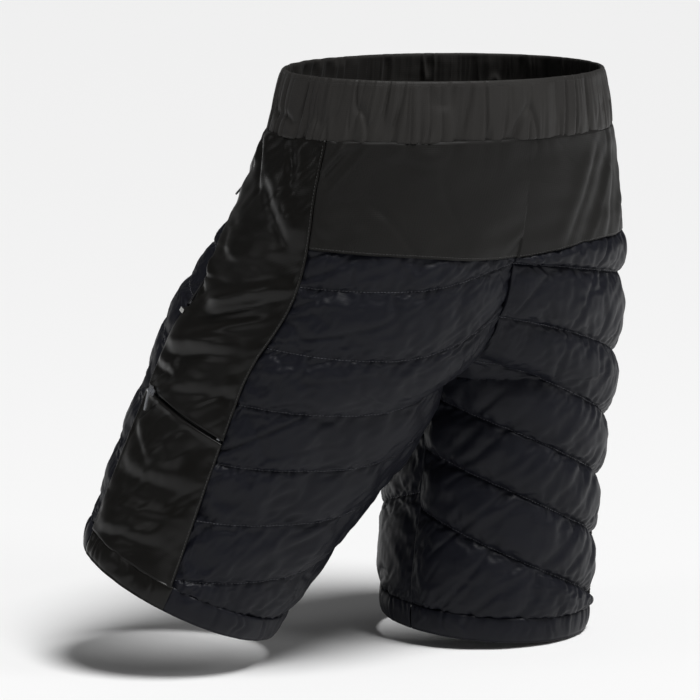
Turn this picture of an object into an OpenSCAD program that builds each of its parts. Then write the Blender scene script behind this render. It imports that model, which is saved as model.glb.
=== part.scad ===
// Quilted insulated shorts, pull-on.
// An elastic waistband, a stretch-cloth back yoke and side panels, quilted front and back
// panels of shell, batting and lining, turned hems, two zipped hand pockets in the front side
// seams and two zipped thigh pockets level across the side panels.
// The garment stands as worn in a stride, the left leg forward and out.
// Frame: +Z up, the wearer faces -Y, the wearer's left is +X, origin at the centre of the
// waist opening's top edge. Depths are measured down from that edge. Millimetres, degrees.

/* [Lengths] */
// Depth of the elastic waistband
band_depth = 56; // [40:1:70]
// Depth of the crotch below the waist edge
rise = 285; // [250:1:330]
// Depth of the hem below the waist edge, down the outer seam
outseam = 535; // [450:1:640]
// Height of the turned hem
hem_height = 24; // [15:1:40]
// Depth of the back yoke's lower edge at the side seams
yoke_depth = 157; // [125:1:190]
// How much lower the yoke's edge lies at the centre back
yoke_dip = 10; // [0:1:20]

/* [Rings] */
// Waist edge: half width, reach to the front, reach to the back
waist_ring = [168, 107, 119]; // [80:1:260]
// Foot of the waistband: half width, reach to the front, reach to the back
band_ring = [183, 116, 121]; // [80:1:260]
// Belly: half width, reach to the front, reach to the back
belly_ring = [202, 131, 114]; // [80:1:260]
// Hips: half width, reach to the front, reach to the back
hip_ring = [215, 144, 103]; // [80:1:260]
// Crotch level: half width, reach to the front, reach to the back
crotch_ring = [217, 147, 94]; // [80:1:260]
// Thigh: outer edge from the centre plane, reach to the front, reach to the back
thigh_ring = [214, 132, 90]; // [80:1:260]
// Hem: outer edge from the centre plane, reach to the front, reach to the back
hem_ring = [215, 100, 94]; // [80:1:260]
// Distance of each leg's inner edge from the centre plane
leg_inset = 6; // [2:1:20]
// How much the waist edge dips at the back
waist_tilt = 5; // [0:1:12]

/* [Stride] */
// Left leg: forward swing, outward spread, turn about its length
left_stride = [20, 19, 2]; // [-10:1:25]
// Right leg: forward swing, outward spread, turn about its length
right_stride = [5, -3, -6]; // [-10:1:25]

/* [Seams] */
// Angle of the front side seam at the waistband, forward of the side line
front_seam_top = 42; // [30:1:50]
// Angle of the front side seam on the leg, forward of the side line
front_seam_leg = 19; // [12:1:30]
// Angle of the back side seam at the waistband, behind the side line
back_seam_top = 20; // [12:1:30]
// Angle of the back side seam at the hem, behind the side line
back_seam_hem = 47; // [35:1:60]
// Gap between neighbouring cloth pieces
seam_gap = 0.8; // [0.6:0.1:1.5]

/* [Cloth] */
// Thickness of the stretch cloth
stretch_t = 1.5; // [1:0.1:2.5]
// Thickness of the quilted panels' shell and lining cloths
shell_t = 0.6; // [0.4:0.1:1]
// Overall thickness of a quilted panel away from its seams
quilt_t = 7.5; // [6:0.5:12]
// Overall thickness of a quilted panel at its seams
quilt_seam_t = 3.6; // [3.2:0.1:4.5]
// Clear space between layers of cloth
layer_gap = 0.3; // [0.3:0.05:0.6]
// Thickness of the waistband's elastic
elastic_t = 1.8; // [1:0.1:3]
// Thickness of an empty pocket bag
bag_t = 1.2; // [0.8:0.1:2]

/* [Zips] */
// Depth of the hand pocket zip's upper end
hand_top = 88; // [80:1:110]
// Length of the hand pocket zip, measured down
hand_length = 200; // [150:1:220]
// Depth of the thigh pocket zip
thigh_depth = 375; // [340:1:400]
// Opening between the panels at a hand pocket zip
hand_gap = 13; // [11:0.5:18]
// Opening between the panels at a thigh pocket zip
thigh_gap = 4; // [3.5:0.5:8]
// Width of one thigh zip tape half
tape_w = 11; // [8:0.5:14]
// Thickness of the zip tapes
tape_t = 0.6; // [0.4:0.1:1]
// Width of one coil half
coil_w = 2.2; // [1.5:0.1:3]
// Thickness of the coils
coil_t = 1.4; // [1:0.1:2]
// Slider length and width
slider_size = [11, 8]; // [5:0.5:16]
// Thickness of the slider's plates
slider_t = 1.2; // [0.8:0.1:2]
// Hand pocket pull: length and width
hand_pull = [20, 5.5]; // [3:0.5:40]
// Thigh pocket pull: length and width
thigh_pull = [19, 3.2]; // [3:0.1:40]
// Thickness of the pulls
pull_t = 1.2; // [0.8:0.1:2]
// Radius of the pin that a pull hangs on
pin_r = 0.6; // [0.5:0.05:1]
// Running clearance of the sliders and pulls
clearance = 0.3; // [0.2:0.05:0.5]

/* [Hidden] */
$fn = 32;
arc_fn = 240;
STRETCH = "#24231f";
QUILT = "#1c1d22";
BATTING = "#d9dadd";
LINING = "#16171b";
ELASTIC = "#e8e8e8";
TAPE = "#3a3a3c";
METAL = "#b9bcc0";

LEFT = 1;
RIGHT = -1;
sides = ["left", "right"];
zips = ["hand", "thigh"];

hand_end = hand_top + hand_length;
hem_line = outseam - hem_height;

// The hip pivot of the left leg, and the depths over which the leg comes to follow it
hip_pivot = [90, 45, -rise * 2 / 3];
swing_start = band_depth * 1.6;
swing_end = rise + 45;
inseam_reach = outseam - rise;
swing_across = 130;

// Depth of each ring
ring_depth = [0, band_depth, mix(band_depth, rise, 0.28), mix(band_depth, rise, 0.585), rise,
              mix(rise, outseam, 0.46), outseam];
ring_size = [waist_ring, band_ring, belly_ring, hip_ring, crotch_ring, thigh_ring, hem_ring];
last_ring = len(ring_depth) - 1;

// ---------- Small functions ----------
function mix(a, b, t) = a + (b - a) * t;
function smooth(t) = let (c = min(max(t, 0), 1)) c * c * (3 - 2 * c);
function unit(v) = v / norm(v);
function span(a, b, n) = [for (i = [0 : n]) mix(a, b, i / n)];
function side_of(name) = name == "left" ? LEFT : RIGHT;
function turn_x(p, a) = [p.x, p.y * cos(a) - p.z * sin(a), p.y * sin(a) + p.z * cos(a)];
function turn_y(p, a) = [p.x * cos(a) + p.z * sin(a), p.y, -p.x * sin(a) + p.z * cos(a)];
function turn_z(p, a) = [p.x * cos(a) - p.y * sin(a), p.x * sin(a) + p.y * cos(a), p.z];
// v turned by a degrees about the unit axis k
function turn_about(v, k, a) = v * cos(a) + cross(k, v) * sin(a) + k * (k * v) * (1 - cos(a));

// ---------- The garment's surface ----------
// A smooth curve through the rings: half width, front reach and back reach at depth h
function ring_slope(i) = let (a = max(i - 1, 0), b = min(i + 1, last_ring))
    (ring_size[b] - ring_size[a]) / (ring_depth[b] - ring_depth[a]);
function ring_index(h) = max([for (i = [0 : last_ring - 1]) h >= ring_depth[i] ? i : 0]);
function ring(h) = let (
        i = ring_index(h),
        d = ring_depth[i + 1] - ring_depth[i],
        t = min(max((h - ring_depth[i]) / d, 0), 1))
    ring_size[i] * (1 + 2 * t) * (1 - t) * (1 - t) + ring_slope(i) * d * t * (1 - t) * (1 - t)
    + ring_size[i + 1] * t * t * (3 - 2 * t) - ring_slope(i + 1) * d * t * t * (1 - t);

// The left ring's inner edge: the mirror of the outer edge at the waist, the centre plane at the
// crotch, and each leg's own inner edge below
function inner_edge(h, outer) =
    h <= band_depth ? -outer
    : h < rise ? seam_gap / 2 - outer * (1 - pow((h - band_depth) / (rise - band_depth), 1.4))
    : mix(seam_gap / 2, leg_inset, smooth(2 * (h - rise) / inseam_reach));

// Left ring at depth h: centre x, centre y, half width, half depth
function oval(h) = let (r = ring(h), inner = inner_edge(h, r[0]))
    [(r[0] + inner) / 2, (r[2] - r[1]) / 2, (r[0] - inner) / 2, (r[1] + r[2]) / 2];

// How much a point follows the leg: fully on the outside, later on the inside
function follow(x, h) = let (across = smooth(x / swing_across))
    smooth((h - swing_start) / (swing_end - swing_start))
    * mix(smooth((h - rise) / inseam_reach), 1, across);

function stride(side) = side == LEFT ? left_stride : right_stride;
function posed(side, p, w) = let (
        s = stride(side),
        q = turn_y(turn_x(turn_z(p - hip_pivot, s[2] * w), -s[0] * w), -s[1] * w) + hip_pivot)
    [side * q.x, q.y, q.z];

// A point of the plain surface: angle a round the ring (0 outermost, + behind, - in front),
// depth h, and distance off outside the surface
function plain(side, a, h, off = 0) = let (
        o = oval(h),
        n = unit([cos(a) / o[2], sin(a) / o[3]]),
        x = o[0] + o[2] * cos(a) + off * n.x,
        y = o[1] + o[3] * sin(a) + off * n.y,
        dip = waist_tilt * (1 - smooth(h / 150)) * y / 110)
    posed(side, [x, y, -h - dip], follow(x, h));

// The angle at which a ring meets the centre plane, or closes on the inseam, less a gap
function centre_angle(h, gap = seam_gap / 2) = let (o = oval(h))
    acos(min(max((gap - o[0]) / o[2], -cos(gap * 0.5)), 1));

// Angles of the front and back side seams
function front_seam(h) = -mix(front_seam_top, front_seam_leg,
    min((h - band_depth) / (hand_end + 10 - band_depth), 1));
function back_seam(h) = mix(back_seam_top, back_seam_hem, (h - band_depth) / (outseam - band_depth));
// Depth of the yoke's lower edge at angle a
function yoke_edge(a) = yoke_depth + yoke_dip * smooth((a - 60) / 45);

// ---------- Zip arcs ----------
// The circle through three points: centre, plane normal, radius
function circle3(p, q, r) = let (
        a = q - p,
        b = r - p,
        n = cross(a, b),
        c = ((b * b) * cross(n, a) + (a * a) * cross(b, n)) / (2 * n * n))
    [p + c, unit(n), norm(c)];
function onto_circle(k, p) = let (q = p - k[0], f = q - k[1] * (q * k[1])) k[0] + unit(f) * k[2];

hand_mid = (hand_top + hand_end) / 2;
function hand_circle(side) = circle3(plain(side, front_seam(hand_top), hand_top),
    plain(side, front_seam(hand_mid), hand_mid), plain(side, front_seam(hand_end), hand_end));
function thigh_circle(side) = circle3(plain(side, front_seam(thigh_depth), thigh_depth),
    plain(side, (front_seam(thigh_depth) + back_seam(thigh_depth)) / 2, thigh_depth),
    plain(side, back_seam(thigh_depth), thigh_depth));
hand_circles = [hand_circle(LEFT), hand_circle(RIGHT)];
thigh_circles = [thigh_circle(LEFT), thigh_circle(RIGHT)];
function hand_of(side) = hand_circles[side == LEFT ? 0 : 1];
function thigh_of(side) = thigh_circles[side == LEFT ? 0 : 1];

// The cloth is drawn to each zip, so that the zip's arc lies in the surface
function drawn_to_hand(side, a, h) = h <= hand_top || h >= hand_end ? [0, 0, 0]
    : let (p = plain(side, front_seam(h), h))
      (onto_circle(hand_of(side), p) - p) * (1 - smooth(abs(a - front_seam(h)) / 30));
function drawn_to_thigh(side, a, h) =
    a <= front_seam(thigh_depth) || a >= back_seam(thigh_depth) ? [0, 0, 0]
    : let (p = plain(side, a, thigh_depth))
      (onto_circle(thigh_of(side), p) - p) * (1 - smooth(abs(h - thigh_depth) / 60));
function skin(side, a, h, off = 0) =
    plain(side, a, h, off) + drawn_to_hand(side, a, h) + drawn_to_thigh(side, a, h);

// Outward normal of the surface
function skin_normal(side, a, h) = -side * unit(cross(
    plain(side, a + 1, h) - plain(side, a - 1, h), plain(side, a, h + 1) - plain(side, a, h - 1)));

// ---------- Cloth solids ----------
// A sheet: a grid of [side, angle, depth] points, and its outer and inner offsets at (u, v).
// Both faces are split along the same diagonals, so that sheets on one grid never cross.
module sheet(turn, grid, outer, inner) {
    nu = len(grid) - 1;
    nv = len(grid[0]) - 1;
    row = nv + 1;
    half = (nu + 1) * row;
    face = [for (i = [0 : nu]) for (j = [0 : nv]) let (g = grid[i][j]) skin(g[0], g[1], g[2], outer(i / nu, j / nv))];
    back = [for (i = [0 : nu]) for (j = [0 : nv]) let (g = grid[i][j]) skin(g[0], g[1], g[2], inner(i / nu, j / nv))];
    quads = concat(
        [for (i = [0 : nu - 1]) for (j = [0 : nv - 1])
            let (k = i * row + j) [k, k + row, k + row + 1, k + 1]],
        [for (i = [0 : nu - 1]) for (j = [0 : nv - 1])
            let (k = half + i * row + j) [k, k + 1, k + row + 1, k + row]],
        [for (i = [0 : nu - 1]) let (k = i * row) [k + half, k + row + half, k + row, k]],
        [for (i = [0 : nu - 1]) let (k = i * row + nv) [k, k + row, k + row + half, k + half]],
        [for (j = [0 : nv - 1]) [j, j + 1, j + 1 + half, j + half]],
        [for (j = [0 : nv - 1]) let (k = nu * row + j) [k + half, k + 1 + half, k + 1, k]]);
    solid(concat(face, back), quads, turn);
}

// A closed solid of four-sided faces, each split in two; the right side is mirrored
module solid(points, quads, turn) {
    triangles = [for (q = quads) each [[q[0], q[1], q[2]], [q[0], q[2], q[3]]]];
    polyhedron(points, turn == LEFT ? triangles : [for (t = triangles) [t[2], t[1], t[0]]]);
}

// A profile of [depth, offset] points carried along a list of [side, angle function] stations
module hoop(stations, profile, turn) {
    n = len(profile);
    m = len(stations);
    points = [for (s = stations) for (p = profile) skin(s[0], s[1], p[0], p[1])];
    quads = [for (i = [0 : m - 1]) for (j = [0 : n - 1])
        [i * n + j, ((i + 1) % m) * n + j, ((i + 1) % m) * n + (j + 1) % n, i * n + (j + 1) % n]];
    solid(points, quads, turn);
}

// ---------- Waistband ----------
band_steps = 48;
band_stations = [for (i = [0 : band_steps - 1]) let (t = 360 * i / band_steps)
    t < 180 ? [LEFT, t - 90] : [RIGHT, 270 - t]];
cover_t = shell_t + 0.2;
tunnel = elastic_t + 2 * layer_gap;

// Depths at which the elastic, and the tunnel it lies in, have their corners
elastic_rows = span(4.5, band_depth - 5, 3);
function down(offset) = [for (h = elastic_rows) [h, offset]];
function up(offset) = [for (i = [len(elastic_rows) - 1 : -1 : 0]) [elastic_rows[i], offset]];

module waistband_cover() {
    inside = cover_t + tunnel;
    foot = band_depth - seam_gap / 2;
    profile = concat([[1.2, 0]], down(0), [[foot, 0], [foot, -cover_t]], up(-cover_t),
        [[3, -cover_t], [2, -cover_t - tunnel * 0.3], [2, -inside + tunnel * 0.3], [3, -inside]],
        down(-inside), [[foot - 3, -inside], [foot - 3, -inside - cover_t]], up(-inside - cover_t),
        [[1.2, -inside - cover_t], [0, -inside], [0, -cover_t]]);
    color(STRETCH) hoop(band_stations, profile, LEFT);
}

module waistband_elastic() {
    outer = -cover_t - layer_gap;
    color(ELASTIC) hoop(band_stations, concat(down(outer), up(outer - elastic_t)), LEFT);
}

// ---------- Panels ----------
top_edge = band_depth + seam_gap / 2;
// Rows above, beside and below a hand pocket zip
function upper_rows() = concat(span(top_edge, hand_top - 1, 2), span(hand_top, hand_end, 8));
// Half the opening of a side seam at depth h: wide at the hand zip, a seam's gap elsewhere
function opening(h) = (h >= hand_top && h <= hand_end ? hand_gap : seam_gap) / 2;
// An angle as wide as a length at depth h
function as_angle(length, h) = length / oval(h)[3] * 180 / PI;

function front_edge(h) = front_seam(h) + as_angle(opening(h), h);
function side_grid(side, rows, steps) = [for (i = [0 : steps]) [for (h = rows)
    [side, mix(front_edge(h), back_seam(h) - as_angle(seam_gap / 2, h), i / steps), h]]];

module side_upper(side) {
    rows = concat(upper_rows(), span(hand_end + 1, thigh_depth - thigh_gap / 2, 3));
    color(STRETCH) sheet(side, side_grid(side, rows, 6), function(u, v) 0, function(u, v) -stretch_t);
}

module side_lower(side) {
    rows = span(thigh_depth + thigh_gap / 2, hem_line - seam_gap / 2, 5);
    color(STRETCH) sheet(side, side_grid(side, rows, 6), function(u, v) 0, function(u, v) -stretch_t);
}

// The yoke runs from the left side seam over the centre back to the right side seam
yoke_steps = 10;
function yoke_column(side, t) = [for (v = span(0, 1, 6)) let (
        edge_a = mix(back_seam(yoke_depth), 100, t),
        h = mix(top_edge, yoke_edge(edge_a) - seam_gap / 2, v))
    [side, mix(back_seam(h) + as_angle(seam_gap / 2, h), centre_angle(h, 0), t), h]];

module back_yoke() {
    grid = concat([for (t = span(0, 1, yoke_steps)) yoke_column(LEFT, t)],
        [for (t = span(1 - 1 / yoke_steps, 0, yoke_steps - 1)) yoke_column(RIGHT, t)]);
    color(STRETCH) sheet(LEFT, grid, function(u, v) 0, function(u, v) -stretch_t);
}

// A quilted panel is thin at its seams and full away from them
function crown(u, v) = (1 - pow(2 * u - 1, 6)) * (1 - pow(2 * v - 1, 10));
function quilt_face(u, v) = -(quilt_seam_t - 2.4) * (1 - crown(u, v));
function quilt_back(u, v) = -mix(quilt_seam_t, quilt_t, crown(u, v));
layers = [
    ["shell", QUILT, function(u, v) quilt_face(u, v), function(u, v) quilt_face(u, v) - shell_t],
    ["batting", BATTING, function(u, v) quilt_face(u, v) - shell_t - layer_gap,
        function(u, v) quilt_back(u, v) + shell_t + layer_gap],
    ["lining", LINING, function(u, v) quilt_back(u, v) + shell_t, function(u, v) quilt_back(u, v)]];

// The centre seam turns under at the crotch, so a quilted panel's rows lie closer there
above_crotch = 11;
below_crotch = 8;
quilt_foot = hem_line - seam_gap / 2;
function centre_row(top, j, above, below) = j <= above
    ? rise - (rise - top) * pow(1 - j / above, 2) : mix(rise, quilt_foot, (j - above) / below);

function front_grid(side) = let (
        side_rows = concat(upper_rows(), span(hand_end + 1, quilt_foot, below_crotch - 1)))
    [for (u = span(0, 1, 9)) [for (j = [0 : above_crotch + below_crotch]) let (
        h = mix(centre_row(top_edge, j, above_crotch, below_crotch), side_rows[j], u))
    [side, mix(-centre_angle(h), front_seam(h) - as_angle(opening(side_rows[j]), h), u), h]]];
function back_grid(side) = [for (u = span(1, 0, 10)) [for (j = [0 : 2 * below_crotch]) let (
        top = yoke_edge(mix(back_seam(yoke_depth), 100, u)) + seam_gap / 2,
        side_row = mix(top, quilt_foot, j / (2 * below_crotch)),
        h = mix(side_row, centre_row(top, j, below_crotch, below_crotch), u))
    [side, mix(back_seam(h) + as_angle(seam_gap / 2, h), centre_angle(h), u), h]]];

module quilt_layer(side, place, layer) {
    l = layers[search([layer], layers)[0]];
    grid = place == "front" ? front_grid(side) : back_grid(side);
    color(l[1]) sheet(place == "front" ? side : -side, grid, l[2], l[3]);
}

// ---------- Hems ----------
// Turned up inside: an outer leaf, the fold and an inner leaf; a closed end at each seam
module hem(side, from, to, steps, t, tint) {
    top = hem_line + seam_gap / 2;
    leaf = t + layer_gap;
    profile = [[top, -1], [outseam - 1, -1], [outseam, -1 - t], [outseam, -1 - leaf], [outseam - 1, -1 - leaf - t],
               [top, -1 - leaf - t], [top, -1 - leaf], [outseam - 2, -1 - leaf], [outseam - 2, -1 - t], [top, -1 - t]];
    n = len(profile);
    points = [for (a = span(from, to, steps)) for (p = profile) skin(side, a, p[0], p[1])];
    walls = [for (i = [0 : steps - 1]) for (j = [0 : n - 1])
        [i * n + j, (i + 1) * n + j, (i + 1) * n + (j + 1) % n, i * n + (j + 1) % n]];
    ends = [for (k = [0, steps * n]) for (q = [[0, 1, 8, 9], [1, 2, 3, 8], [3, 4, 7, 8], [4, 5, 6, 7]])
        k == 0 ? [for (c = q) k + c] : [for (c = [3, 2, 1, 0]) k + q[c]]];
    color(tint) solid(points, concat(walls, ends), side);
}
hem_gap = as_angle(seam_gap / 2, outseam);
module hem_front(side) hem(side, -centre_angle(outseam), front_seam(outseam) - hem_gap, 10, shell_t, QUILT);
module hem_side(side) hem(side, front_seam(outseam) + hem_gap, back_seam(outseam) - hem_gap, 6, shell_t, STRETCH);
module hem_back(side) hem(side, back_seam(outseam) + hem_gap, centre_angle(outseam), 10, shell_t, QUILT);

// ---------- Pocket bags ----------
// Flat and empty, hanging inside: the hand bag forward of its zip, the thigh bag below its zip
bag_clear = 2.5;
module pocket_bag(side, zip) {
    hand = zip == "hand";
    depth = hand ? quilt_t + bag_clear : stretch_t + tape_t + coil_t + 5.5;
    rows = hand ? span(hand_top, hand_end + 20, 8) : span(thigh_depth, mix(thigh_depth, hem_line, 0.8), 5);
    grid = [for (u = span(0, 1, 6)) [for (h = rows) hand
        ? [side, mix(front_seam(h) - 34, front_seam(h), u), h]
        : [side, mix(front_seam(h) + 4, back_seam(h) - 4, u), h]]];
    color(LINING) sheet(side, grid, function(u, v) -depth, function(u, v) -depth - bag_t);
}

// ---------- Zips ----------
// Each zip: circle, point at its closed end, point at its other end, a surface normal in between
function zip_circle(side, zip) = zip == "hand" ? hand_of(side) : thigh_of(side);
zip_end = 3;
function zip_point(side, zip, t) = zip == "hand"
    ? let (h = mix(hand_top + zip_end, hand_end - zip_end, t))
        onto_circle(hand_of(side), plain(side, front_seam(h), h))
    : let (a = mix(front_seam(thigh_depth) + 2, back_seam(thigh_depth) - 2, t))
        onto_circle(thigh_of(side), plain(side, a, thigh_depth));
function zip_normal(side, zip, t) = zip == "hand"
    ? let (h = mix(hand_top, hand_end, t)) skin_normal(side, front_seam(h), h)
    : let (a = mix(front_seam(thigh_depth), back_seam(thigh_depth), t)) skin_normal(side, a, thigh_depth);

// The zip's turning frame: start direction, tangent, axis, so that turning by + moves off the closed end
function zip_axis(side, zip) = let (
        c = zip_circle(side, zip),
        p = zip_point(side, zip, 0) - c[0],
        q = zip_point(side, zip, 1) - c[0])
    c[1] * (cross(p, q) * c[1] > 0 ? 1 : -1);
function zip_angle(side, zip) = let (
        c = zip_circle(side, zip),
        p = unit(zip_point(side, zip, 0) - c[0]),
        q = unit(zip_point(side, zip, 1) - c[0]))
    acos(p * q);
// Lean of the cloth's normal from the arc's radius, about the tangent, at the middle of the zip
function zip_lean(side, zip) = let (
        k = zip_axis(side, zip),
        r = unit(zip_point(side, zip, 0.5) - zip_circle(side, zip)[0]),
        n = zip_normal(side, zip, 0.5))
    atan2(n * k, n * r);

function tape_half(zip) = zip == "hand" ? hand_gap / 2 - 0.5 : tape_w;
function tape_level(zip) = zip == "hand" ? -1 : -stretch_t - 1.2;
function plate_level(zip) = zip == "hand" ? tape_level(zip) + clearance : 0.6;
slit = 2.4;
function coil_level(zip) = tape_level(zip) - tape_t - 0.05;
function under_level(zip) = coil_level(zip) - coil_t - clearance;

// A rectangle in the zip's cross-section: from n0 to n1 across the zip, from r0 to r1 outwards
function leaned(radius, lean, n, r) = [radius + r * cos(lean) - n * sin(lean), r * sin(lean) + n * cos(lean)];
module zip_strip(side, zip, n0, n1, r0, r1, from, to) {
    c = zip_circle(side, zip);
    k = zip_axis(side, zip);
    x = unit(zip_point(side, zip, 0) - c[0]);
    y = cross(k, x);
    lean = zip_lean(side, zip);
    total = zip_angle(side, zip);
    multmatrix([[x.x, y.x, k.x, c[0].x], [x.y, y.y, k.y, c[0].y], [x.z, y.z, k.z, c[0].z], [0, 0, 0, 1]])
        rotate([0, 0, total * from])
            rotate_extrude(angle = total * (to - from), $fn = arc_fn)
                polygon([for (p = [[n0, r0], [n1, r0], [n1, r1], [n0, r1]]) leaned(c[2], lean, p[0], p[1])]);
}

module zip_tape(side, zip) {
    level = tape_level(zip);
    color(TAPE) for (s = [-1, 1])
        zip_strip(side, zip, s * slit / 2, s * tape_half(zip), level - tape_t, level, 0, 1);
}

// Share of the zip's length that a length takes up
function share(side, zip, length) = length / (zip_circle(side, zip)[2] * zip_angle(side, zip) * PI / 180);

stop_l = 3;
module zip_coil(side, zip) {
    end = share(side, zip, stop_l + 1);
    level = coil_level(zip);
    color(TAPE) for (s = [-1, 1])
        zip_strip(side, zip, s * slit / 2, s * (slit / 2 + coil_w), level - coil_t, level, end, 1 - end);
}

module zip_stops(side, zip) {
    start = share(side, zip, 0.6);
    long = share(side, zip, stop_l);
    level = coil_level(zip);
    color(METAL) {
        for (s = [-1, 1])
            zip_strip(side, zip, s * slit / 2, s * (slit / 2 + coil_w), level - coil_t, level, start, start + long);
        zip_strip(side, zip, -slit / 2 - coil_w, slit / 2 + coil_w, level - coil_t, level, 1 - start - long, 1 - start);
    }
}

// The slider's own frame at its closed place: x along the zip away from the closed end,
// z out of the cloth
slider_place = stop_l + 2;
function slider_turn(side, zip) = zip_angle(side, zip) * share(side, zip, slider_place + slider_size[0] / 2);
function slider_frame(side, zip) = let (
        c = zip_circle(side, zip),
        k = zip_axis(side, zip),
        r = turn_about(unit(zip_point(side, zip, 0) - c[0]), k, slider_turn(side, zip)),
        t = cross(k, r),
        lean = zip_lean(side, zip),
        z = r * cos(lean) + k * sin(lean),
        o = c[0] + r * c[2])
    [o, t, cross(z, t), z];
module in_frame(f)
    multmatrix([[f[1].x, f[2].x, f[3].x, f[0].x], [f[1].y, f[2].y, f[3].y, f[0].y],
                [f[1].z, f[2].z, f[3].z, f[0].z], [0, 0, 0, 1]]) children();

// The pin stands across two posts on the plate; it is level, so that the pull hangs from it
post = [2, 1.2, 2 * pin_r + 1.6];
eye_w = 2;
pin_l = eye_w + 2 * clearance + 2 * post.y;
eye_r = pin_r + clearance + 0.8;
function pin_height(zip) = plate_level(zip) + slider_t + eye_r + clearance;
function pin_axis(side, zip) = let (f = slider_frame(side, zip), d = unit(cross([0, 0, 1], f[3])))
    d * (d.y < 0 ? -1 : 1);
function pin_centre(side, zip) = let (f = slider_frame(side, zip)) f[0] + f[3] * pin_height(zip);
// The pin's frame: x down the cloth, y along the pin, z out of the cloth
function pin_frame(side, zip) = let (
        f = slider_frame(side, zip),
        y = pin_axis(side, zip),
        x = cross(y, f[3]),
        flip = x.z > 0 ? -1 : 1)
    [pin_centre(side, zip), x * flip, y * flip, f[3]];

module zip_slider(side, zip) {
    plate = plate_level(zip);
    under = under_level(zip);
    neck_w = slit - 2 * clearance;
    color(METAL) {
        in_frame(slider_frame(side, zip)) {
            translate([0, 0, plate]) slider_plate(0);
            translate([0, 0, under - slider_t]) slider_plate(0);
            translate([-slider_size[0] / 2 + 1, -neck_w / 2, under - 0.1])
                cube([3.5, neck_w, plate - under + 0.2]);
        }
        in_frame(pin_frame(side, zip)) {
            rotate([90, 0, 0]) cylinder(r = pin_r, h = pin_l, center = true);
            for (s = [-1, 1])
                translate([-post.x / 2, s * (pin_l - post.y) / 2 - post.y / 2, -pin_height(zip) + plate + slider_t - 0.2])
                    cube([post.x, post.y, pin_height(zip) - plate - slider_t + 0.2 + pin_r + 0.3]);
        }
    }
}

module slider_plate(lift) {
    l = slider_size[0];
    w = slider_size[1];
    translate([0, 0, lift]) linear_extrude(slider_t) intersection() {
        square([l, w], center = true);
        union() {
            translate([-l * 0.15, 0]) circle(d = w);
            translate([-l / 2, -w * 0.36]) square([l, w * 0.72]);
        }
    }
}

// A pull lies at an angle to the cloth, lifted by the slider's crown or leaning to the panel
function pull_rest(zip) = zip == "hand" ? 20 : -7;
module zip_pull(side, zip) {
    size = zip == "hand" ? hand_pull : thigh_pull;
    color(METAL) in_frame(pin_frame(side, zip)) rotate([0, -pull_rest(zip), 0]) difference() {
        union() {
            rotate([90, 0, 0]) cylinder(r = eye_r, h = eye_w, center = true);
            translate([0, -eye_w / 2, -pull_t / 2]) cube([4, eye_w, pull_t]);
            translate([3.6, -size[1] / 2, -pull_t / 2]) cube([size[0] - 3.6 - size[1] / 2, size[1], pull_t]);
            translate([size[0] - size[1] / 2, 0, -pull_t / 2]) cylinder(d = size[1], h = pull_t);
        }
        rotate([90, 0, 0]) cylinder(r = pin_r + clearance, h = eye_w + 2, center = true);
    }
}

// ---------- The whole garment ----------
waistband_cover();
waistband_elastic();
back_yoke();
for (s = sides) {
    side_upper(side_of(s));
    side_lower(side_of(s));
    for (p = ["front", "back"]) for (l = ["shell", "batting", "lining"])
        quilt_layer(side_of(s), p, l);
    hem_front(side_of(s));
    hem_side(side_of(s));
    hem_back(side_of(s));
    for (z = zips) {
        pocket_bag(side_of(s), z);
        zip_tape(side_of(s), z);
        zip_coil(side_of(s), z);
        zip_stops(side_of(s), z);
        zip_slider(side_of(s), z);
        zip_pull(side_of(s), z);
    }
}
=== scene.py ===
"""Quilted insulated shorts: gathered waistband, stretch-cloth yoke and side panels, quilted
front and back panels, turned hems and four zips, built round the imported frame.

The garment's surface is one formula: rings swept down the body and legs, then posed in a stride.
Every cloth piece is a grid on that surface, lifted along its normal by its own folds. Depths h
are measured down from the waist edge, angles a round each leg's ring from the outer side line,
positive behind and negative in front. Lengths are millimetres until a mesh is made.
"""

import bpy
import numpy as np
from mathutils import Matrix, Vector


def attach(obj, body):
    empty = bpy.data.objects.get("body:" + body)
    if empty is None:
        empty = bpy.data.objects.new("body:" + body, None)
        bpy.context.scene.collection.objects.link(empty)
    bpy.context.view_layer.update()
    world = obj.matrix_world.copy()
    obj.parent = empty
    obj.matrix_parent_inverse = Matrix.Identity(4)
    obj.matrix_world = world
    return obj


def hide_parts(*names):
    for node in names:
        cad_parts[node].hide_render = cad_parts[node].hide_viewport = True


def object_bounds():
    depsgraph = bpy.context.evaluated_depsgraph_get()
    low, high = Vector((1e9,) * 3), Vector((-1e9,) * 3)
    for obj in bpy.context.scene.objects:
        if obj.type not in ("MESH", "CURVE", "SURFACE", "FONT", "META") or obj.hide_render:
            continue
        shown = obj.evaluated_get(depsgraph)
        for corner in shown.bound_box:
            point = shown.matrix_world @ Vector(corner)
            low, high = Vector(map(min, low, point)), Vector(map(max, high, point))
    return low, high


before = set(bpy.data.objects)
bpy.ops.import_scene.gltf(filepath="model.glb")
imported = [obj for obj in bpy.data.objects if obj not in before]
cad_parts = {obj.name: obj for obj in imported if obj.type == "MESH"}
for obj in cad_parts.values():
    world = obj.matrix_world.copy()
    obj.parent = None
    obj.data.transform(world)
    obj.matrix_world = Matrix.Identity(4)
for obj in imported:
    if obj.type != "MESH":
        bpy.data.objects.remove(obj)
cad_low, cad_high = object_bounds()

MM = 0.001
SIDES = {"left": 1, "right": -1}

# ---------- The garment's sizes, as the frame has them ----------
BAND = 56.0
RISE = 285.0
OUTSEAM = 535.0
HEM_LINE = 511.0
YOKE, YOKE_DIP = 157.0, 10.0
RING_DEPTH = np.array([0, BAND, 120.12, 189.965, RISE, 400, OUTSEAM])
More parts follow.
